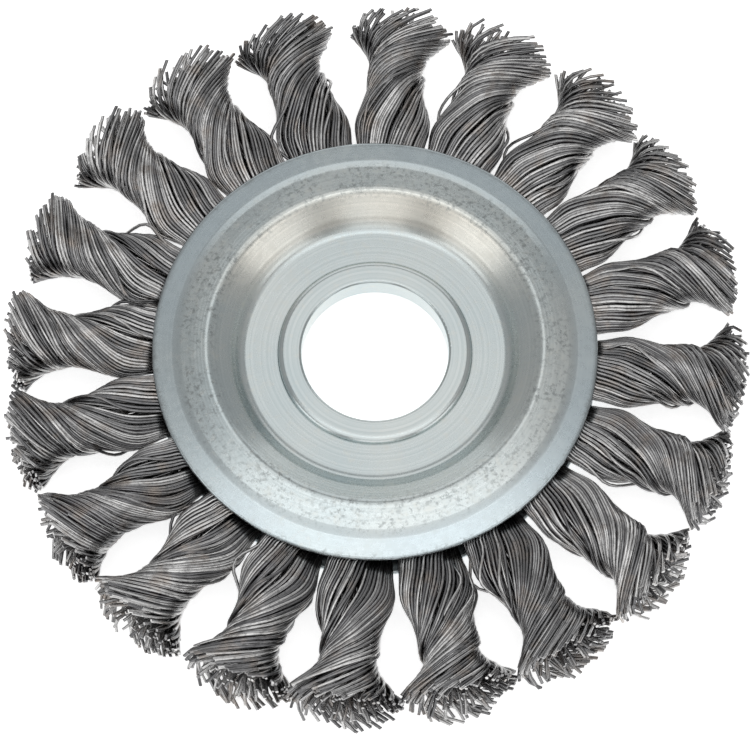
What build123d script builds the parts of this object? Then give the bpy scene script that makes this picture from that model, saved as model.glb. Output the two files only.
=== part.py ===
from build123d import *
from math import asinh, cos, degrees, hypot, pi, radians, sin, sqrt, tan
import os

# A twist-knot wire wheel brush: twenty knots of steel wire, folded through a
# punched holder and twisted, held between two pressed cover plates that an
# eyelet clamps round the bore. Millimetres. The bore runs along Z, and the
# origin is the middle of the wheel.

# Bore eyelet
bore_radius = 11.115            # seats on a 22.23 mm spindle shoulder
eyelet_wall = 0.6
flange_width = 3.05             # rolled flange, from the barrel outwards
flange_thickness = 0.9
flange_roll = 1.1               # the flange's edge rolls down over this width
flange_edge_height = 0.15       # left upright at the plate
lip_radius = 0.45               # rolled edge at the mouth of the bore
eyelet_bend_radius = 0.3        # inside corner under the rolled flange
eyelet_clearance = 0.05         # between the barrel and the holder

# Knot holder
holder_radius = 30.7
holder_thickness = 1.2
hole_radius = 2.9
hole_edge_web = 1.4             # steel left outside each hole
hole_edge_chamfer = 0.2

# Cover plates, from the rim of the holder inwards and outwards
plate_thickness = 0.8
rim_overlap = 3.0               # the plates reach past the holder
crown_shift = 0.5               # from the circle of holes to the crown's highest line
crown_inner_width = 2.4
crown_outer_width = 2.5
valley_width = 1.5              # from the crown down to the flared band
wall_width = 4.2                # slope from the crown down to the clamping face
crown_room = 1.15               # air between the folded wires and the crown
crown_edge_drop = 0.25
valley_drop = 0.85
rim_drop = 1.3
wall_foot_bend = 1.3
wall_top_bend = 1.2
crown_bend = 6.0
valley_bend = 0.9
rim_edge_radius = 0.3

# Knots, where they pass the holder and the plates
knot_count = 20
first_knot_angle = 14.0         # degrees from +X
strand_thickness = 2.6          # one half of the wires, folded over the holder
wire_clearance = 0.05           # between the wires and the holder's faces
hole_clearance = 0.1            # between the wires and the hole's wall
edge_clearance = 0.3            # between the wires and the holder's edge
rim_clearance = 0.15            # between the wires and the plates' rims
root_gap = 1.2                  # between two knots at the holder's holes
neighbour_gap = 0.3             # between two knots, from the plates to their bellies
loop_depth = 0.3                # the fold bulges this far past the hole's wall

# Knots, outside the plates
brush_radius = 56.4             # trimmed ends of the wires
belly_height = 7.4              # where the strands lie side by side
belly_reach = 4.3               # from the plates' rim
neck_width = 8.85               # where the strands lie over each other again
neck_height = 9.4
neck_reach = 10.6               # from the plates' rim
waist_width = 9.6               # where the tuft opens
waist_height = 9.0
tuft_length = 7.3               # from the waist to the trimmed ends
tuft_gap = 0.6                  # between two tufts
tuft_height = 14.0              # the brush's working width
corner_drop = 2.8               # the trimmed end is round, lower at its corners
strand_groove = 0.25            # depth between the strands, as a share of the radius
waist_groove = 0.08             # the same where the tuft opens
tuft_groove = 0.02              # the same at the trimmed ends
strand_overlap = 0.1            # one edge of a strand rides this far over the other strand
tuft_overlap = 0.015            # the same at the trimmed ends

# Twist, in degrees, right-handed along the knot
lean_twist = 64.0               # made between the holder and the plates' rim
root_twist_rate = 2.0           # for each millimetre, next to the holder
waist_lay_angle = 64.5          # of the wires to the knot's length, from the waist on
twist_growth = 2.3              # how late the twist tightens

# Worked-out heights, measured from the middle of the wheel
holder_top = holder_thickness / 2
clamp_height = holder_top + plate_thickness
flange_top = clamp_height + flange_thickness
root_half_height = holder_top + wire_clearance + strand_thickness
crown_top = root_half_height + crown_room + plate_thickness
crown_edge_top = crown_top - crown_edge_drop
rim_top = crown_top - rim_drop

# Worked-out radii
barrel_radius = bore_radius + eyelet_wall
flange_radius = barrel_radius + flange_width
roll_radius = flange_radius - flange_roll
holder_hole_radius = barrel_radius + eyelet_clearance
plate_hole_radius = holder_hole_radius + eyelet_bend_radius
hole_circle_radius = holder_radius - hole_edge_web - hole_radius
crown_radius = hole_circle_radius + crown_shift
wall_top_radius = crown_radius - crown_inner_width
wall_foot_radius = wall_top_radius - wall_width
crown_end_radius = crown_radius + crown_outer_width
valley_radius = crown_end_radius + valley_width
plate_radius = holder_radius + rim_overlap

# Worked-out places and sizes along a knot
half_pitch = pi / knot_count
plug_radius = hole_radius - hole_clearance
loop_start = hole_circle_radius - plug_radius - loop_depth
slot_end = holder_radius + edge_clearance
belly_place = plate_radius + belly_reach
neck_place = plate_radius + neck_reach
waist_place = brush_radius - tuft_length
corner_place = brush_radius - corner_drop
root_half_width = hole_circle_radius * tan(half_pitch) - root_gap / 2
rim_half_width = plate_radius * tan(half_pitch) - neighbour_gap / 2
rim_half_height = rim_top - plate_thickness - rim_clearance
belly_half_width = belly_place * tan(half_pitch) - neighbour_gap / 2
tuft_half_width = corner_place * tan(half_pitch) - tuft_gap / 2
end_round = (tuft_half_width**2 + corner_drop**2) / (2 * corner_drop)
flare_sideways = sqrt(tuft_half_width**2 - (waist_width / 2) ** 2) / (tuft_length - corner_drop)
flare_upwards = sqrt((tuft_height / 2) ** 2 - (waist_height / 2) ** 2) / tuft_length
lay_slope = tan(radians(waist_lay_angle))
waist_twist_rate = degrees(lay_slope / (waist_width / 2))

# How finely the knots are drawn
loop_sections = 3
rope_sections = 28
trim_length = 1.0               # drawn past the brush's radius, then trimmed off
outline_steps = [-3, -2, -1, 0, 1, 2, 3]
outline_turn = 90 / outline_steps[-1]


# Smooth change from one size to the next between two places
def eased(place, start, end, first, last):
    share = min(max((place - start) / (end - start), 0), 1)
    share = share * share * (3 - 2 * share)
    return first + (last - first) * share


# Half the knot's width and height at a distance from the wheel's axis
def knot_size(place):
    if place > waist_place:
        run = place - waist_place
        width = hypot(waist_width / 2, flare_sideways * run)
        height = hypot(waist_height / 2, flare_upwards * run)
    elif place > neck_place:
        width = eased(place, neck_place, waist_place, neck_width / 2, waist_width / 2)
        height = eased(place, neck_place, waist_place, neck_height / 2, waist_height / 2)
    elif place > belly_place:
        width = eased(place, belly_place, neck_place, belly_half_width, neck_width / 2)
        height = eased(place, belly_place, neck_place, belly_height / 2, neck_height / 2)
    elif place > plate_radius:
        width = eased(place, plate_radius, belly_place, rim_half_width, belly_half_width)
        height = eased(place, plate_radius, belly_place, rim_half_height, belly_height / 2)
    else:
        width = eased(place, hole_circle_radius, plate_radius, root_half_width, rim_half_width)
        height = eased(place, slot_end, plate_radius, root_half_height, rim_half_height)
    return width, height


# How far the strands have turned: slowly at first, tightly at the waist, and
# in the tuft so that the wires keep the angle that they have at the waist
def knot_twist(place):
    reach = waist_place - holder_radius
    share = min(max(place - holder_radius, 0) / reach, 1)
    tightening = (waist_twist_rate - root_twist_rate) / (twist_growth + 1)
    turned = reach * (root_twist_rate * share + tightening * share ** (twist_growth + 1))
    lean = eased(place, hole_circle_radius, plate_radius, 0, lean_twist)
    spread = flare_sideways * max(place - waist_place, 0) / (waist_width / 2)
    loose = degrees(lay_slope / flare_sideways * asinh(spread))
    return radians(lean + turned + loose)


# One strand's side of the knot's outline, from groove to groove
def strand_points(place, strand, scale):
    width, height = knot_size(place)
    if place > waist_place:
        groove = eased(place, waist_place, brush_radius, waist_groove, tuft_groove)
    else:
        groove = eased(place, belly_place, waist_place, strand_groove, waist_groove)
    overlap = eased(place, neck_place, brush_radius, strand_overlap, tuft_overlap)
    lobe_shift = (1 - (1 - groove) ** 2) / 2
    lobe_radius = 1 - lobe_shift
    points = []
    for step in outline_steps:
        turn = radians(outline_turn * step)
        reach = lobe_shift * cos(turn) + sqrt(lobe_radius**2 - (lobe_shift * sin(turn)) ** 2)
        reach *= 1 - overlap * sin(turn)
        angle = pi / 2 + knot_twist(place) + pi * strand + turn
        points.append((scale * width * reach * cos(angle), scale * height * reach * sin(angle)))
    return points


os.makedirs("parts", exist_ok=True)

# Eyelet: a thin tube with both ends rolled outwards over the plates
with BuildPart() as bore_eyelet:
    with BuildSketch(Plane.XZ) as eyelet_section:
        with BuildLine():
            edge_top = clamp_height + flange_edge_height
            roll_height = flange_top - edge_top
            Polyline(
                (roll_radius, -flange_top),
                (bore_radius, -flange_top),
                (bore_radius, flange_top),
                (roll_radius, flange_top),
            )
            EllipticalCenterArc((roll_radius, edge_top), flange_roll, roll_height, arc_size=90)
            Polyline(
                (flange_radius, edge_top),
                (flange_radius, clamp_height),
                (barrel_radius, clamp_height),
                (barrel_radius, -clamp_height),
                (flange_radius, -clamp_height),
                (flange_radius, -edge_top),
            )
            EllipticalCenterArc((roll_radius, -edge_top), flange_roll, roll_height, start_angle=270, arc_size=90)
        make_face()
        corners = eyelet_section.vertices().group_by(Axis.X)
        fillet(corners[0], radius=lip_radius)
        fillet(corners[1], radius=eyelet_bend_radius)
    revolve(axis=Axis.Z)
bore_eyelet.part.label = "bore_eyelet"
export_step(bore_eyelet.part, "parts/bore_eyelet.step")

# Holder: a flat ring with one punched hole for each knot
with BuildPart() as knot_holder:
    with BuildSketch(Plane.XY.offset(-holder_top)):
        Circle(holder_radius)
        Circle(holder_hole_radius, mode=Mode.SUBTRACT)
        with PolarLocations(hole_circle_radius, knot_count, start_angle=first_knot_angle):
            Circle(hole_radius, mode=Mode.SUBTRACT)
    extrude(amount=holder_thickness)
    round_edges = knot_holder.edges().filter_by(GeomType.CIRCLE)
    hole_edges = round_edges.group_by(SortBy.RADIUS)[0]
    chamfer(hole_edges, length=hole_edge_chamfer)
knot_holder.part.label = "knot_holder"
export_step(knot_holder.part, "parts/knot_holder.step")

# Front plate: flat at the bore, pressed up into a round crown, flared at the rim
with BuildPart() as front_plate:
    with BuildSketch(Plane.XZ) as plate_section:
        with BuildLine():
            FilletPolyline(
                (plate_hole_radius, clamp_height),
                (wall_foot_radius, clamp_height),
                (wall_top_radius, crown_edge_top),
                (crown_radius, crown_top),
                (crown_end_radius, crown_edge_top),
                (valley_radius, crown_top - valley_drop),
                (plate_radius, rim_top),
                radius=[wall_foot_bend, wall_top_bend, crown_bend, wall_top_bend, valley_bend],
            )
            offset(amount=plate_thickness, side=Side.RIGHT)
        make_face()
        rim_corners = plate_section.vertices().group_by(Axis.X)[-1]
        fillet(rim_corners, radius=rim_edge_radius)
    revolve(axis=Axis.Z)
front_plate.part.label = "front_plate"
export_step(front_plate.part, "parts/front_plate.step")

# Back plate: the same pressing, turned over
with BuildPart() as back_plate:
    mirror(front_plate.part, about=Plane.XY)
back_plate.part.label = "back_plate"
export_step(back_plate.part, "parts/back_plate.step")

# Knot along +X: two strands twisted round each other, with the round fold of
# the wires at the inner end and the flared tuft at the outer end
with BuildPart() as knot:
    sections = []
    fold_length = hole_circle_radius - loop_start
    for number in range(loop_sections):
        lean_back = (1 - (number + 1) / (loop_sections + 1)) ** 2
        sections.append((hole_circle_radius - fold_length * lean_back, sqrt(1 - lean_back**2)))
    rope_length = brush_radius + trim_length - hole_circle_radius
    for number in range(rope_sections + 1):
        sections.append((hole_circle_radius + rope_length * number / rope_sections, 1))
    for place, scale in sections:
        with BuildSketch(Plane(origin=(place, 0, 0), x_dir=(0, 1, 0), z_dir=(1, 0, 0))):
            with BuildLine():
                strands = [strand_points(place, strand, scale) for strand in range(2)]
                for strand in range(2):
                    add(Edge.make_spline(strands[strand], parameters=outline_steps))
                    Line(strands[strand][-1], strands[1 - strand][0])
            make_face()
    loft()

    # The strands lie on the holder's two faces and meet only through its hole
    slot_half_height = holder_top + wire_clearance
    with BuildSketch(Plane.XY.offset(-slot_half_height)):
        Circle(slot_end)
    extrude(amount=2 * slot_half_height, mode=Mode.SUBTRACT)
    with BuildSketch(Plane.XY.offset(-root_half_height / 2)):
        with Locations((hole_circle_radius, 0)):
            Circle(plug_radius)
    extrude(amount=root_half_height)

    # The wires are cut to the brush's radius, round at the end
    with BuildSketch(Plane.XY.offset(-tuft_height)):
        with Locations((brush_radius - end_round, 0)):
            Circle(end_round)
        Rectangle(corner_place, brush_radius, align=(Align.MIN, Align.CENTER))
    extrude(amount=2 * tuft_height, mode=Mode.INTERSECT)

# The same knot in every hole of the holder
for number in range(knot_count):
    name = f"knot_{number + 1:02d}"
    angle = first_knot_angle + 360 * number / knot_count
    placed_knot = Rot(0, 0, angle) * knot.part
    placed_knot.label = name
    export_step(placed_knot, f"parts/{name}.step")
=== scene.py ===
import math
import random

import bmesh
import bpy
from mathutils import Matrix, Vector


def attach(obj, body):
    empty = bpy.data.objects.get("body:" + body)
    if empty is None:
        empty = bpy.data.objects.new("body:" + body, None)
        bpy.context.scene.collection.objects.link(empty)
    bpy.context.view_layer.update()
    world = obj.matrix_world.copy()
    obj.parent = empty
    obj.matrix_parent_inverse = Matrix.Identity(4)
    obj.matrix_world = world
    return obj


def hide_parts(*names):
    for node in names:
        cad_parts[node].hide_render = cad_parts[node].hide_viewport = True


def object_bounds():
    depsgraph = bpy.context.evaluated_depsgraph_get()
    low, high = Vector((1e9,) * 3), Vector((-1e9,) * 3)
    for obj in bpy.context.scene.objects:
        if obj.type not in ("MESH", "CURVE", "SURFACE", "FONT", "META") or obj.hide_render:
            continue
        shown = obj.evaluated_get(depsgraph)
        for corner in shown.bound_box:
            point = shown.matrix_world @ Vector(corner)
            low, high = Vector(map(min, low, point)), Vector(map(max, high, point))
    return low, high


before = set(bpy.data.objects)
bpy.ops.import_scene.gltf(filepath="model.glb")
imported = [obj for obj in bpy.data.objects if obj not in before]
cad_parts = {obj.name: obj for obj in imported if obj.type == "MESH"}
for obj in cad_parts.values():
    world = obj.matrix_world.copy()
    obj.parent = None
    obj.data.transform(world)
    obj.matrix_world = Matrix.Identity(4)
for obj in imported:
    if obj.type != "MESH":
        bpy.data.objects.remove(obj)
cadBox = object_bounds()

mm = 0.001

# The wheel's measures, as the solids have them, millimetres
wheel = {
    "knots": 20,
    "firstKnot": 14.0,           # degrees from +X
    "brushRadius": 56.4,
    "plateRadius": 33.7,
    "holderRadius": 30.7,
    "holderTop": 0.6,
    "holeCircle": 26.4,
    "holeRadius": 2.8,
    "waist": 49.1,
    "endRound": 13.4,            # the tuft is trimmed round, lower at its corners
    "topEnd": 6.85,              # half the brush's working width
}

# Each knot leans its own way, degrees from the line through its hole
leans = [4.6, 3.6, 0.2, 0.6, -0.4, 3.4, 2.2, 0.6, 2.8, 3.4,
         1.2, 0.3, -1.2, 0.2, -2.2, -1.8, -0.8, 0.4, 1.8, 0.9]

# How much longer or shorter each knot is trimmed, millimetres
trims = [-0.3, -0.5, -0.1, 0.0, -0.2, -0.3, -0.3, -0.6, -0.8, -0.6,
         0.4, 0.3, 0.5, 0.6, 0.9, 0.6, 0.6, 0.8, 0.2, -0.3]

# One knot's outline from the holder to the tuft, half sizes in millimetres
outline = {
    "stations": [                # distance from the axis, half width, half height
        (26.4, 3.6, 3.2),
        (33.7, 5.2, 2.95),
        (38.0, 5.85, 3.7),
        (44.3, 4.42, 4.7),
        (48.6, 4.85, 4.5),
    ],
    "flareSideways": 1.5,
    "flareUpwards": 0.76,
    "groove": 0.24,              # depth between the two strands
    "grooveFade": 0.7,           # share of it that is gone at the waist
    "overlap": 0.09,             # each strand's edge rides over the other strand
}

# How the strands turn, degrees and degrees for each millimetre
twisting = {
    "lean": 64.0,                # turned already where it leaves the plates
    "rootRate": 2.0,
    "waistSlope": 2.1,           # sideways for each millimetre outwards, from the waist on
    "growth": 2.3,
}

# How much one knot differs from the next
variety = {
    "waist": 0.5,
    "lean": 12.0,                # degrees
    "tightness": 0.07,
    "spring": (-0.12, 0.08),
    "flare": (-0.08, 0.05),
    "wornShort": 0.3,            # on the -Y side, for each millimetre of height
    "wornFrom": -1.0,            # above this height
}

# The wires of one strand
wires = {
    "layers": [(1.0, 25), (0.86, 19), (0.68, 12), (0.46, 9), (0.2, 5)],      # depth and count
    "radius": 0.26,
    "bodySteps": 18,
    "coreSteps": 9,              # for the wires inside, hidden along the body
    "coreDepth": 0.75,
    "stepPower": 0.85,           # steps get shorter towards the waist
    "tuftSteps": 6,
    "fan": 174.0,                # degrees that a strand's wires take up
    "sink": 0.07,                # every second wire lies deeper at the waist
    "wander": 0.9,               # degrees
    "splay": 0.32,               # how far the inner wires part in the tuft
    "unwind": 1.5,               # how far they turn back there, radians
    "unwindPower": 1.5,
    "slant": 3.0,                # 0 is cut along the rim, more is cut square
    "slantLimit": 0.35,          # keeps a slanted end from getting too long
    "seed": 41,
}

# How much one wire differs from the next
spreads = {
    "turn": 0.8,                 # degrees
    "depth": 0.012,
    "pace": (0.3, 0.9),
    "lag": 1.6,                  # degrees
    "float": 0.008,
    "loose": 0.15,               # radians
    "splay": 0.05,
}

# Wires that bow out of a knot
strays = {
    "count": (2, 5),
    "bow": (0.12, 0.4),
    "middle": (0.4, 0.75),       # place along the knot's body
    "length": 0.26,
}

# Where the ends are cut, millimetres from the trimmed end
cuts = {
    "mean": -0.05,
    "spread": 0.42,
    "most": 0.65,
    "shortShare": 0.16,          # of the wires are cut clearly shorter
    "shortBy": (0.5, 2.4),
    "faceDrop": 0.2,             # lower at the brush's two faces
    "guard": 0.5,                # keeps the round end's square root real
    "beyond": 1.0,               # the search ends this far past the brush's radius
    "halvings": 18,
}

# The fold of the wires round the holder, millimetres
fold = {
    "outside": 0.3,              # the runs start this far outside the holder
    "parting": 2.2,              # and the strands close up over this length
    "lift": 0.05,
    "lowest": 0.85,              # height of the lowest wires there
    "thickness": 2.2,
    "start": 1.9,                # the lowest fold lies this far outside the circle of holes
    "depth": 3.9,                # and the highest this much further in
    "narrow": 0.62,              # share of its width that a knot keeps in the hole
    "wallGap": 0.25,
    "guard": 0.05,               # keeps the hole's square root real
    "shoulder": 0.7,
    "bends": [(0.8, 0.96), (0.15, 0.7)],      # outwards from the fold, share of the height
}


def eased(place, start, end, first, last):
    share = min(max((place - start) / (end - start), 0.0), 1.0)
    share = share * share * (3 - 2 * share)
    return first + (last - first) * share


# Half the width and half the height of a knot at a distance from the wheel's axis
def knotSize(place, knot):
    stations = outline["stations"]
    width, height = stations[0][1:]
    for first, last in zip(stations, stations[1:]):
        if place > first[0]:
            width = eased(place, first[0], last[0], first[1], last[1])
            height = eased(place, first[0], last[0], first[2], last[2])
    run = max(place - knot["waist"], 0.0) * knot["flare"]
    width = math.hypot(width, outline["flareSideways"] * run)
    height = math.hypot(height, outline["flareUpwards"] * run)
    return width, height


def knotTwist(place, knot):
    reach = knot["waist"] - wheel["holderRadius"]
    share = min(max(place - wheel["holderRadius"], 0.0) / reach, 1.0)
    growth = twisting["growth"] + 1
    waistWidth = outline["stations"][-1][1]
    waistRate = math.degrees(twisting["waistSlope"] / waistWidth)
    tightening = (waistRate - twisting["rootRate"]) / growth
    turned = reach * (twisting["rootRate"] * share + tightening * share**growth)
    lean = eased(place, wheel["holeCircle"], wheel["plateRadius"], 0, knot["lean"])
    flare = outline["flareSideways"] * knot["flare"]
    spread = flare * max(place - knot["waist"], 0.0) / waistWidth
    loose = twisting["waistSlope"] * knot["spring"] / flare * math.asinh(spread)
    return math.radians(lean + turned * knot["tightness"]) + loose


# Where a wire of one strand passes a given place
def wireSpot(wire, knot, strand, place):
    along = (place - wheel["holderRadius"]) / (knot["waist"] - wheel["holderRadius"])
    free = max(place - knot["waist"], 0.0) / (wheel["brushRadius"] - knot["waist"])
    along = min(max(along, 0.0), 1.0)
    sway = math.sin(wire["phase"][strand] + wire["pace"][strand] * along * math.tau)
    turn = wire["turn"] + math.radians(wires["wander"]) * sway + wire["lag"][strand] * along
    turn += wire["loose"][strand] * free ** wires["unwindPower"]
    groove = outline["groove"] * (1 - outline["grooveFade"] * along**2)
    shift = (1 - (1 - groove) ** 2) / 2
    lobe = 1 - shift
    reach = shift * math.cos(turn) + math.sqrt(lobe**2 - (shift * math.sin(turn)) ** 2)
    depth = wire["depth"] - wire["sink"] * along**2
    depth += wire["float"][strand] * math.sin(math.pi * along)
    bow, middle = wire["bow"][strand]
    if bow:
        apart = min(abs(along - middle) / strays["length"], 1.0)
        depth += bow * math.cos(apart * math.pi / 2) ** 2
    reach *= depth * (1 - outline["overlap"] * math.sin(turn) * (1 - free))
    reach *= 1 + wire["splay"][strand] * free
    angle = math.pi / 2 + knotTwist(place, knot) + math.pi * strand + turn
    width, height = knotSize(place, knot)
    sideways = (width - wires["radius"]) * reach * math.cos(angle)
    upwards = (height - wires["radius"]) * reach * math.sin(angle)
    return Vector((place, sideways, upwards))


# How far out the tuft is trimmed at a given height and distance from its middle line
def tuftEnd(spot, knot):
    sideways = min(abs(spot.y), wheel["endRound"] - cuts["guard"])
    drop = wheel["endRound"] - math.sqrt(wheel["endRound"] ** 2 - sideways**2)
    short = knot["short"] * max(spot.z - variety["wornFrom"], 0.0)
    faceDrop = cuts["faceDrop"] * (spot.z / wheel["topEnd"]) ** 2
    return wheel["brushRadius"] + knot["trim"] - drop - short - faceDrop


# From the holder's edge to the trimmed end
def wireRun(wire, knot, strand, rng):
    points = []
    side = 1 if strand == 0 else -1
    waist = knot["waist"]
    start = wheel["holderRadius"] + fold["outside"]
    rise = wheel["holderTop"] + wires["radius"] + fold["lift"]
    steps = wires["bodySteps"] if wire["depth"] > wires["coreDepth"] else wires["coreSteps"]
    for step in range(steps + 1):
        place = start + (waist - start) * (step / steps) ** wires["stepPower"]
        spot = wireSpot(wire, knot, strand, place)
        parting = 1 - eased(place, start, start + fold["parting"], 0, 1)
        if spot.z * side < rise:
            spot.z += (rise * side - spot.z) * parting
        points.append(spot)
    cut = min(rng.gauss(cuts["mean"], cuts["spread"]), cuts["most"])
    if rng.random() < cuts["shortShare"]:
        cut -= rng.uniform(*cuts["shortBy"])
    low, high = waist, wheel["brushRadius"] + cuts["beyond"]
    for _ in range(cuts["halvings"]):
        middle = (low + high) / 2
        if middle < tuftEnd(wireSpot(wire, knot, strand, middle), knot) + cut:
            low = middle
        else:
            high = middle
    for step in range(wires["tuftSteps"]):
        place = waist + (low - waist) * (step + 1) / wires["tuftSteps"]
        spot = wireSpot(wire, knot, strand, place)
        spot.z = max(min(spot.z, wheel["topEnd"]), -wheel["topEnd"])
        points.append(spot)
    return points


# The fold through the holder's hole joins a front run to the back run of the same wire
def wireFold(frontEnd, backEnd):
    height = (abs(frontEnd.z) - fold["lowest"]) / fold["thickness"]
    hook = wheel["holeCircle"] + fold["start"] - fold["depth"] * min(max(height, 0.0), 1.0)
    apart = hook - wheel["holeCircle"]
    room = math.sqrt(max(wheel["holeRadius"] ** 2 - apart**2, fold["guard"])) - fold["wallGap"]
    ends = (frontEnd, backEnd)
    across = [max(min(end.y * fold["narrow"], room), -room) for end in ends]
    halves = []
    for end, side in zip(ends, across):
        half = [Vector(((end.x + hook) / 2 + fold["shoulder"], (end.y + side) / 2, end.z))]
        half += [Vector((hook + out, side, end.z * share)) for out, share in fold["bends"]]
        halves.append(half)
    return halves[0] + [Vector((hook, sum(across) / 2, 0))] + halves[1][::-1]


def addObject(name, data):
    added = bpy.data.objects.new(name, data)
    bpy.context.scene.collection.objects.link(added)
    return added


# The folded wires of one knot, each a little different
def strandWires(rng):
    bundle = []
    fan = wires["fan"]
    spread = spreads["turn"]
    for depth, count in wires["layers"]:
        unwind = -wires["unwind"] * (1 - depth)
        splay = wires["splay"] * (1 - depth)
        for number in range(count):
            share = (number + 0.5) / count
            bundle.append({
                "turn": math.radians(-fan / 2 + fan * share + rng.uniform(-spread, spread)),
                "depth": depth + rng.uniform(-spreads["depth"], spreads["depth"]),
                "sink": wires["sink"] * (number % 2),
                "phase": [rng.uniform(0, math.tau) for _ in range(2)],
                "pace": [rng.uniform(*spreads["pace"]) for _ in range(2)],
                "lag": [math.radians(rng.gauss(0, spreads["lag"])) for _ in range(2)],
                "float": [rng.gauss(0, spreads["float"]) for _ in range(2)],
                "loose": [rng.gauss(unwind, spreads["loose"]) for _ in range(2)],
                "splay": [rng.gauss(splay, spreads["splay"]) for _ in range(2)],
                "bow": [(0.0, 0.0), (0.0, 0.0)],
            })
    outerCount = wires["layers"][0][1]
    for _ in range(rng.randint(*strays["count"])):
        loose = bundle[rng.randrange(outerCount)]
        bow = (rng.uniform(*strays["bow"]), rng.uniform(*strays["middle"]))
        loose["bow"][rng.randrange(2)] = bow
    return bundle


# Trimming cuts a wire along the brush's rim, so its end is slanted and faces outwards
def slantEnds(mesh, tones, tips, sides, outwards):
    spots = []
    for number, pair in enumerate(reversed(tips)):
        first = 2 * sides * number
        spots += [(index, pair) for index in range(first, first + 2 * sides)]
    ring = 2 * sides * len(tips)
    for (count, _), pair in zip(tones, tips):
        spots += [(ring + index, pair) for index in range(sides)]
        spots += [(ring + (count - 1) * sides + index, pair) for index in range(sides)]
        ring += count * sides
    for index, pair in spots:
        vertex = mesh.vertices[index]
        end, along = min(pair, key=lambda tip: (tip[0] - vertex.co).length)
        facing = (outwards + wires["slant"] * along).normalized()
        slope = max(along.dot(facing), wires["slantLimit"])
        vertex.co -= along * ((vertex.co - end).dot(facing) / slope)


# A whole knot as one curve of many wires, made a mesh
def makeKnot(number):
    rng = random.Random(wires["seed"] * 100 + number)
    angle = math.radians(wheel["firstKnot"] + 360 * number / wheel["knots"])
    knot = {
        "waist": wheel["waist"] + rng.uniform(-variety["waist"], variety["waist"]),
        "lean": twisting["lean"] + rng.uniform(-1, 1) * variety["lean"],
        "tightness": 1 + rng.uniform(-variety["tightness"], variety["tightness"]),
        "spring": 1 + rng.uniform(*variety["spring"]),
        "flare": 1 + rng.uniform(*variety["flare"]),
        "tilt": math.radians(leans[number]),
        "trim": trims[number],
        "short": variety["wornShort"] * max(-math.sin(angle), 0.0),
    }
    name = f"knot_{number + 1:02d}"
    curve = bpy.data.curves.new(f"{name}_line", "CURVE")
    curve.dimensions = "3D"
    curve.bevel_depth = wires["radius"] * mm
    curve.bevel_resolution = 1
    curve.use_fill_caps = True
    turnOut = Matrix.Rotation(angle, 4, "Z")
    pivot = Vector((wheel["plateRadius"], 0, 0))
    leanOver = Matrix.Rotation(knot["tilt"], 4, "Z")
    tones = []
    tips = []
    outwards = turnOut @ leanOver @ Vector((1, 0, 0))
    for wire in strandWires(rng):
        front = wireRun(wire, knot, 0, rng)
        back = wireRun(wire, knot, 1, rng)
        path = front[::-1] + wireFold(front[0], back[0]) + back
        spline = curve.splines.new("POLY")
        spline.points.add(len(path) - 1)
        for point, spot in zip(spline.points, path):
            if spot.x > wheel["plateRadius"]:
                spot = pivot + leanOver @ (spot - pivot)
            point.co = (*(turnOut @ (spot * mm)), 1)
        line = [point.co.to_3d() for point in spline.points]
        ends = ((line[0], line[1]), (line[-1], line[-2]))
        tips.append([(end, (end - before).normalized()) for end, before in ends])
        tones.append((len(path), rng.random()))
    drawn = addObject(f"{name}_line", curve)
    bpy.context.view_layer.update()
    shown = drawn.evaluated_get(bpy.context.evaluated_depsgraph_get())
    mesh = bpy.data.meshes.new_from_object(shown)
    bpy.data.objects.remove(drawn)
    mesh.name = f"{name}_wires"
    piece = addObject(f"{name}_wires", mesh)

    # The mesh has the end caps first, the last wire's before the others
    sides = 4 + 2 * curve.bevel_resolution
    values = [tone for count, tone in reversed(tones) for _ in range(2 * sides)]
    values += [tone for count, tone in tones for _ in range(count * sides)]
    mesh.attributes.new("tone", "FLOAT", "POINT").data.foreach_set("value", values)
    slantEnds(mesh, tones, tips, sides, outwards)

    shape = bmesh.new()
    shape.from_mesh(mesh)
    for face in shape.faces:
        face.smooth = len(face.verts) == 4
        face.material_index = 0 if face.smooth else 1
        if not face.smooth:
            for edge in face.edges:
                edge.smooth = False
    shape.to_mesh(mesh)
    shape.free()
    return name, piece


# Shader sockets that Python's operators work on
class Link:
    def __init__(self, finish, socket):
        self.finish = finish
        self.socket = socket

    def maths(self, operation, first, second):
        return self.finish.add("ShaderNodeMath", {"operation": operation}, {0: first, 1: second})

    def __add__(self, other):
        return self.maths("ADD", self, other)

    def __radd__(self, other):
        return self.maths("ADD", other, self)

    def __sub__(self, other):
        return self.maths("SUBTRACT", self, other)

    def __rsub__(self, other):
        return self.maths("SUBTRACT", other, self)

    def __mul__(self, other):
        return self.maths("MULTIPLY", self, other)

    def __rmul__(self, other):
        return self.maths("MULTIPLY", other, self)

    def __pow__(self, other):
        return self.maths("POWER", self, other)


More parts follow.
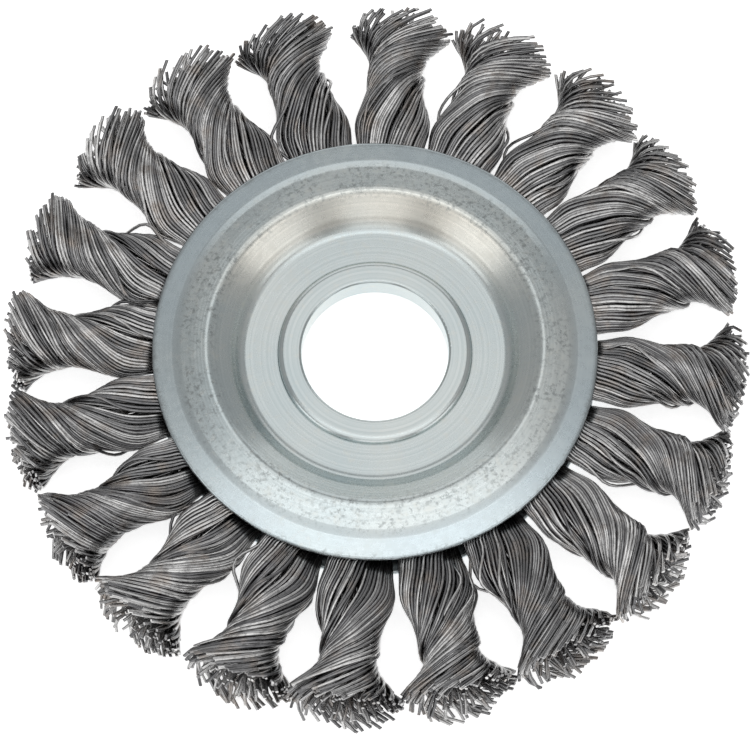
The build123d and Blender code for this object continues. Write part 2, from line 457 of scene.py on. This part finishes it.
# A node material while it is put together
class Finish:
    def __init__(self, name):
        self.material = bpy.data.materials.new(name)
        self.material.use_nodes = True
        self.tree = self.material.node_tree
        self.tree.nodes.clear()

    def add(self, kind, settings=None, values=None, output=0):
        node = self.tree.nodes.new(kind)
        for key, value in (settings or {}).items():
            if key == "stops":
                ramp = node.color_ramp.elements
                while len(ramp) < len(value):
                    ramp.new(1.0)
                for element, (position, color) in zip(ramp, value):
                    element.position = position
                    element.color = color if isinstance(color, tuple) else (color, color, color, 1)
            else:
                setattr(node, key, value)
        for key, value in (values or {}).items():
            if isinstance(value, Link):
                self.tree.links.new(value.socket, node.inputs[key])
            else:
                node.inputs[key].default_value = value
        return Link(self, node.outputs[output]) if node.outputs else None

    # The object's own coordinates, metres
    def place(self):
        return self.add("ShaderNodeTexCoord", output=3)

    # Distance from the wheel's axis
    def reach(self, place):
        apart = self.add(
            "ShaderNodeVectorMath", {"operation": "MULTIPLY"}, {0: place, 1: (1.0, 1.0, 0.0)})
        return self.add("ShaderNodeVectorMath", {"operation": "LENGTH"}, {0: apart}, 1)

    def height(self, place, axis):
        return self.add("ShaderNodeSeparateXYZ", {}, {0: place}, axis)

    def noise(self, vector, scale, detail=3.0, roughness=0.55):
        return self.add(
            "ShaderNodeTexNoise", {},
            {"Vector": vector, "Scale": scale, "Detail": detail, "Roughness": roughness})

    def ramp(self, factor, stops):
        return self.add("ShaderNodeValToRGB", {"stops": stops}, {"Fac": factor})

    # 6 and 7 are the node's two colours, and 2 is the mixed one
    def mixed(self, factor, first, second, blend="MIX"):
        return self.add(
            "ShaderNodeMix", {"data_type": "RGBA", "blend_type": blend},
            {0: factor, 6: first, 7: second}, 2)

    def finish(self, shader):
        self.add("ShaderNodeOutputMaterial", {}, {"Surface": shader})
        return self.material


# The cover plates' upper line from the eyelet to the rim, with the bend at each corner
plate = {
    "profile": [                 # distance from the axis, height, radius of the bend
        (12.07, 1.4, 0),
        (20.2, 1.4, 1.8),
        (21.9, 3.2, 2.4),
        (25.1, 5.45, 1.5),
        (27.3, 5.15, 6.0),
        (29.3, 4.78, 2.0),
        (30.5, 4.36, 2.0),
        (33.7, 3.9, 0),
    ],
    "bendSteps": 6,
    "thickness": 0.8,
    "rimRound": 0.39,
    "rimAngles": (90, 68, 45, 22, 0),
    "heldRun": 0.6,              # straight runs longer than this are held flat
    "heldAway": 0.12,
    "steps": 128,
    "sharp": 40.0,               # degrees
}


# The corners of a line, each drawn as an arc
def bentLine(corners):
    points = [Vector(corners[0][:2])]
    for before, corner, after in zip(corners, corners[1:], corners[2:]):
        spot = Vector(corner[:2])
        back = (Vector(before[:2]) - spot).normalized()
        ahead = (Vector(after[:2]) - spot).normalized()
        half = back.angle(ahead) / 2
        centre = spot + (back + ahead).normalized() * (corner[2] / math.sin(half))
        first = spot + back * (corner[2] / math.tan(half)) - centre
        last = spot + ahead * (corner[2] / math.tan(half)) - centre
        for step in range(plate["bendSteps"] + 1):
            turned = first.slerp(last, step / plate["bendSteps"])
            points.append(centre + turned.normalized() * corner[2])
    points.append(Vector(corners[-1][:2]))
    return points


# Straight runs get a point near each end, so that the shading stays flat between
def heldLine(points):
    held = []
    for start, end in zip(points, points[1:] + points[:1]):
        held.append(start)
        if (end - start).length > plate["heldRun"]:
            step = (end - start).normalized() * plate["heldAway"]
            held += [start + step, end - step]
    return held


def offsetLine(points, amount):
    moved = []
    for number, point in enumerate(points):
        run = points[min(number + 1, len(points) - 1)] - points[max(number - 1, 0)]
        moved.append(point + Vector((run.y, -run.x)).normalized() * amount)
    return moved


def makePlate(name, side):
    upper = bentLine(plate["profile"])
    lower = offsetLine(upper, plate["thickness"])
    rim = plate["rimRound"]
    run = (upper[-1] - upper[-2]).normalized()
    down = Vector((run.y, -run.x))
    rounded = []
    for corner, turn in ((upper[-1], 1), (lower[-1], -1)):
        hub = corner - run * rim + down * rim * turn
        for angle in [math.radians(angle) for angle in plate["rimAngles"]][::turn]:
            rounded.append(hub + run * rim * math.cos(angle) - down * rim * math.sin(angle) * turn)
    section = heldLine(upper[:-1] + rounded + lower[-2::-1])
    shape = bmesh.new()
    ring = [shape.verts.new((point.x * mm, 0, point.y * mm * side)) for point in section]
    lines = [shape.edges.new((ring[index - 1], ring[index])) for index in range(len(ring))]
    bmesh.ops.spin(
        shape, geom=ring + lines, cent=(0, 0, 0), axis=(0, 0, 1), angle=math.tau,
        steps=plate["steps"], use_merge=True)
    bmesh.ops.recalc_face_normals(shape, faces=shape.faces)
    for face in shape.faces:
        face.smooth = True
    for edge in shape.edges:
        edge.smooth = edge.calc_face_angle(0) < math.radians(plate["sharp"])
    mesh = bpy.data.meshes.new(name)
    shape.to_mesh(mesh)
    shape.free()
    return addObject(name, mesh)


plateLook = {
    "color": (0.61, 0.645, 0.635, 1),
    "warm": (0.66, 0.66, 0.61, 1),
    "cool": (0.53, 0.59, 0.60, 1),
    # lighter cream of the painted reflection on the far inner wall
    "creamReflection": (0.69, 0.665, 0.60, 1),
    "blue": (0.50, 0.58, 0.62, 1),
    "pitted": (0.25, 0.27, 0.27, 1),
    # darker colour of the painted shade on the rim's outer edge
    "edge": (0.33, 0.36, 0.37, 1),
    "roughness": 0.27,
    "cloudScale": 55.0,
    "blotchScale": 34.0,
    "grainScale": 900.0,
    "speckScale": 2600.0,
    "pitScale": 1400.0,
    "wornScale": 160.0,
    "ringScale": 130.0,
    "pitStrength": 0.75,
    "rimShadeStrength": 0.8,
    "ringStrength": 0.22,
    "bump": 0.12,
}

# Where each layer of the plate's finish, painted reflection and painted shade lies and how strong
# it is, 1 is 50 mm from the axis
plateBands = {
    "inner": [(0.40, 0.0), (0.43, 1.0), (0.49, 1.0), (0.52, 0.0)],
    "outer": [(0.58, 0.0), (0.62, 0.8)],
    "pressed": [(0.47, 0.0), (0.50, 1.0), (0.58, 1.0), (0.61, 0.0), (0.65, 0.0), (0.665, 1.0)],
    # along +Y: keeps the painted reflection to the far side of the inner wall
    "side": [(0.12, 0.0), (0.3, 1.0)],      # along +Y
    # painted shade on the rim's outer edge
    "rim": [(0.657, 0.0), (0.668, 1.0)],
    "rings": [(0.52, 1.0), (0.6, 0.3)],
}


def plateFinish(name, look):
    made = Finish(name)
    place = made.place()
    cloud = made.noise(place, look["cloudScale"], 4.0)
    grain = made.noise(place, look["grainScale"], 3.0)
    speck = made.noise(place, look["speckScale"], 2.0)
    tint = made.mixed(made.ramp(cloud, [(0.35, 0.0), (0.7, 1.0)]), look["cool"], look["color"])
    tint = made.mixed(made.ramp(grain, [(0.55, 0.0), (0.8, 0.5)]), tint, look["warm"])
    reach = made.reach(place) * 20.0
    blotches = made.noise(place, look["blotchScale"], 3.0)
    inner = made.ramp(reach, plateBands["inner"])
    outer = made.ramp(reach, plateBands["outer"])
    pressed = made.ramp(reach, plateBands["pressed"])
    side = made.ramp(made.height(place, 1) * 20.0, plateBands["side"])
    # painted reflection: the inner wall is lighter cream only on its far (+Y) side, in blotches
    paintedReflection = inner * side * made.ramp(blotches, [(0.3, 0.3), (0.6, 1.0)])
    bluish = outer * made.ramp(blotches, [(0.35, 0.2), (0.6, 1.0)])
    tint = made.mixed(paintedReflection, tint, look["creamReflection"])
    tint = made.mixed(bluish, tint, look["blue"])
    pits = made.ramp(made.noise(place, look["pitScale"], 5.0, 0.7), [(0.5, 0.0), (0.62, 1.0)])
    worn = made.ramp(made.noise(place, look["wornScale"], 3.0), [(0.35, 0.25), (0.6, 1.0)])
    tint = made.mixed(pressed * pits * worn * look["pitStrength"], tint, look["pitted"])
    # painted shade: the rim's outer edge is darker in blotches, except on the front (-Y) side
    rim = made.ramp(reach, plateBands["rim"]) * made.ramp(blotches, [(0.35, 0.35), (0.6, 1.0)])
    shadedAwayFromFront = made.ramp(made.height(place, 1) * 10.0 + 0.5, [(0.25, 0.0), (0.45, 1.0)])
    tint = made.mixed(rim * shadedAwayFromFront * look["rimShadeStrength"], tint, look["edge"])
    turned = made.add(
        "ShaderNodeTexNoise", {"noise_dimensions": "1D"},
        {"W": reach, "Scale": look["ringScale"], "Detail": 3.0})
    rings = made.ramp(turned, [(0.35, 0.0), (0.65, 1.0)]) * made.ramp(reach, plateBands["rings"])
    tint = made.mixed(rings * look["ringStrength"], tint, look["cool"], "MULTIPLY")
    roughness = 0.10 * cloud + 0.14 * grain + (look["roughness"] - 0.12)
    height = 0.5 * grain + 0.3 * speck + 0.3 * rings
    bump = made.add(
        "ShaderNodeBump", {},
        {"Strength": look["bump"], "Distance": 0.0001, "Height": height})
    shader = made.add("ShaderNodeBsdfPrincipled", {}, {
        "Base Color": tint, "Metallic": 1.0, "Roughness": roughness, "Normal": bump})
    return made.finish(shader)


wireLook = {
    "dark": (0.06, 0.06, 0.06, 1),
    "middle": (0.18, 0.18, 0.185, 1),
    "light": (0.68, 0.675, 0.67, 1),
    "brown": (0.36, 0.315, 0.28, 1),
    "roughness": 0.21,
    "contrast": 1.6,             # more makes fewer wires light
    "patchScale": 260.0,
    "markScale": 1500.0,
    "bump": 0.08,
}


def wireFinish(name, look):
    made = Finish(name)
    place = made.place()
    tone = made.add("ShaderNodeAttribute", {"attribute_name": "tone"}, output=2)
    patches = made.noise(place, look["patchScale"], 4.0, 0.6)
    marks = made.noise(place, look["markScale"], 2.0)
    shade = made.mixed(tone ** look["contrast"], look["middle"], look["light"])
    shade = made.mixed(made.ramp(patches, [(0.52, 0.0), (0.72, 0.75)]), shade, look["brown"])
    shade = made.mixed(made.ramp(marks, [(0.52, 0.0), (0.78, 0.5)]), shade, look["dark"])
    roughness = 0.2 * marks + (look["roughness"] - 0.08)
    bump = made.add(
        "ShaderNodeBump", {},
        {"Strength": look["bump"], "Distance": 0.00005, "Height": marks})
    shader = made.add("ShaderNodeBsdfPrincipled", {}, {
        "Base Color": shade, "Metallic": 1.0, "Roughness": roughness, "Normal": bump})
    return made.finish(shader)


# The cut ends are bright and matt, the holder is plain darker steel
cutLook = {
    "dark": (0.8, 0.8, 0.8, 1),
    "light": (0.95, 0.95, 0.94, 1),
    "scale": 3000.0,
    "detail": 2.0,
    "metallic": 0.5,
    "roughness": 0.35,
    "uneven": 0.3,
}
holderLook = {
    "dark": (0.30, 0.30, 0.30, 1),
    "light": (0.48, 0.48, 0.49, 1),
    "scale": 120.0,
    "detail": 4.0,
    "metallic": 1.0,
    "roughness": 0.3,
    "uneven": 0.25,
}


def steelFinish(name, look):
    made = Finish(name)
    marks = made.noise(made.place(), look["scale"], look["detail"])
    shade = made.mixed(marks, look["dark"], look["light"])
    roughness = look["roughness"] + look["uneven"] * marks
    shader = made.add("ShaderNodeBsdfPrincipled", {}, {
        "Base Color": shade, "Metallic": look["metallic"], "Roughness": roughness})
    return made.finish(shader)


def setFinish(node, material):
    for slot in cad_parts[node].material_slots:
        slot.material = material


print("plates")
zinc = plateFinish("zincPlate", plateLook)
for node, side in (("front_plate", 1), ("back_plate", -1)):
    piece = makePlate(f"{node}_pressed", side)
    piece.data.materials.append(zinc)
    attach(piece, "root")
    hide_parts(node)
    setFinish(node, zinc)
setFinish("bore_eyelet", plateFinish("zincEyelet", dict(plateLook, roughness=0.21)))
setFinish("knot_holder", steelFinish("holderSteel", holderLook))

print("knots")
wireSteel = wireFinish("wireSteel", wireLook)
cutSteel = steelFinish("cutSteel", cutLook)
for number in range(wheel["knots"]):
    name, piece = makeKnot(number)
    piece.data.materials.clear()
    piece.data.materials.append(wireSteel)
    piece.data.materials.append(cutSteel)
    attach(piece, "root")
    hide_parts(name)

print("floor and light")
floorLook = {"color": (0.9, 0.9, 0.9, 1), "glow": 0.72, "size": 3.0, "gap": 0.00005}


def floorFinish(name, look):
    made = Finish(name)
    path = {}
    for key, output in {"camera": 0, "glossy": 3, "transmission": 6}.items():
        path[key] = made.add("ShaderNodeLightPath", output=output)
    seen = path["camera"]
    for key in ("glossy", "transmission"):
        seen = made.add("ShaderNodeMath", {"operation": "MAXIMUM"}, {0: seen, 1: path[key]})
    plain = made.add("ShaderNodeBsdfDiffuse", {}, {"Color": look["color"]})
    glow = made.add("ShaderNodeEmission", {}, {"Color": (1, 1, 1, 1), "Strength": look["glow"]})
    both = made.add("ShaderNodeAddShader", {}, {0: plain, 1: glow})
    return made.finish(made.add("ShaderNodeMixShader", {}, {0: seen, 1: plain, 2: both}))


low = cadBox[0][2]
floorMesh = bpy.data.meshes.new("floor")
shape = bmesh.new()
bmesh.ops.create_grid(shape, x_segments=1, y_segments=1, size=floorLook["size"])
bmesh.ops.translate(shape, verts=shape.verts, vec=(0, 0, low - floorLook["gap"]))
shape.to_mesh(floorMesh)
shape.free()
floor = addObject("floor", floorMesh)
floorMesh.materials.append(floorFinish("floorPale", floorLook))

# Soft boxes: where each stands, its two sides and how bright it looks
lamps = {
    "topBox": ((0.0, 0.42, 1.2), (0.6, 0.66), 0.62),
    "frontTopBox": ((0.0, -0.3, 1.1), (1.3, 0.72), 0.72),
    "zenithBox": ((0.0, 0.03, 1.25), (0.9, 0.3), 0.85),
    "frontBox": ((0.0, -1.05, 0.72), (0.7, 0.8), 0.8),
    "frontLeftBox": ((-0.92, -0.6, 0.6), (0.7, 0.7), 1.1),
    "frontRightBox": ((0.92, -0.6, 0.58), (0.7, 0.66), 1.0),
    "backBox": ((0.0, 1.1, 0.42), (1.5, 0.8), 0.6),
}
for name, (spot, sides, glow) in lamps.items():
    light = bpy.data.lights.new(name, "AREA")
    light.shape = "RECTANGLE"
    light.size, light.size_y = sides
    light.energy = glow * math.pi * sides[0] * sides[1]
    lamp = addObject(name, light)
    lamp.location = spot
    lamp.rotation_euler = (-Vector(spot)).to_track_quat("-Z", "Y").to_euler()

# The camera sees a white background, and everything else is lit by a dimmer one
skies = {"lighting": 0.44, "seen": 1.0}
world = bpy.data.worlds.new("studio")
bpy.context.scene.world = world
world.use_nodes = True
tree = world.node_tree
tree.nodes.clear()
rays = tree.nodes.new("ShaderNodeLightPath")
mix = tree.nodes.new("ShaderNodeMixShader")
out = tree.nodes.new("ShaderNodeOutputWorld")
tree.links.new(rays.outputs["Is Camera Ray"], mix.inputs[0])
for number, strength in enumerate(skies.values(), 1):
    sky = tree.nodes.new("ShaderNodeBackground")
    sky.inputs["Color"].default_value = (1, 1, 1, 1)
    sky.inputs["Strength"].default_value = strength
    tree.links.new(sky.outputs[0], mix.inputs[number])
tree.links.new(mix.outputs[0], out.inputs[0])

view = {
    "elevation": 69.4,
    "distance": 0.6,
    "aim": (0, -0.00186, 0),
    "lens": 190.0,
    "sensor": 36.0,
    "nearest": 0.01,
}
camera = bpy.data.cameras.new("camera")
camera.lens = view["lens"]
camera.sensor_width = view["sensor"]
camera.clip_start = view["nearest"]
eye = addObject("camera", camera)
tilt = math.radians(view["elevation"])
aim = Vector(view["aim"])
eye.location = aim + view["distance"] * Vector((0, -math.cos(tilt), math.sin(tilt)))
eye.rotation_euler = (aim - eye.location).to_track_quat("-Z", "Y").to_euler()
bpy.context.scene.camera = eye
bpy.context.scene.view_settings.view_transform = "Standard"
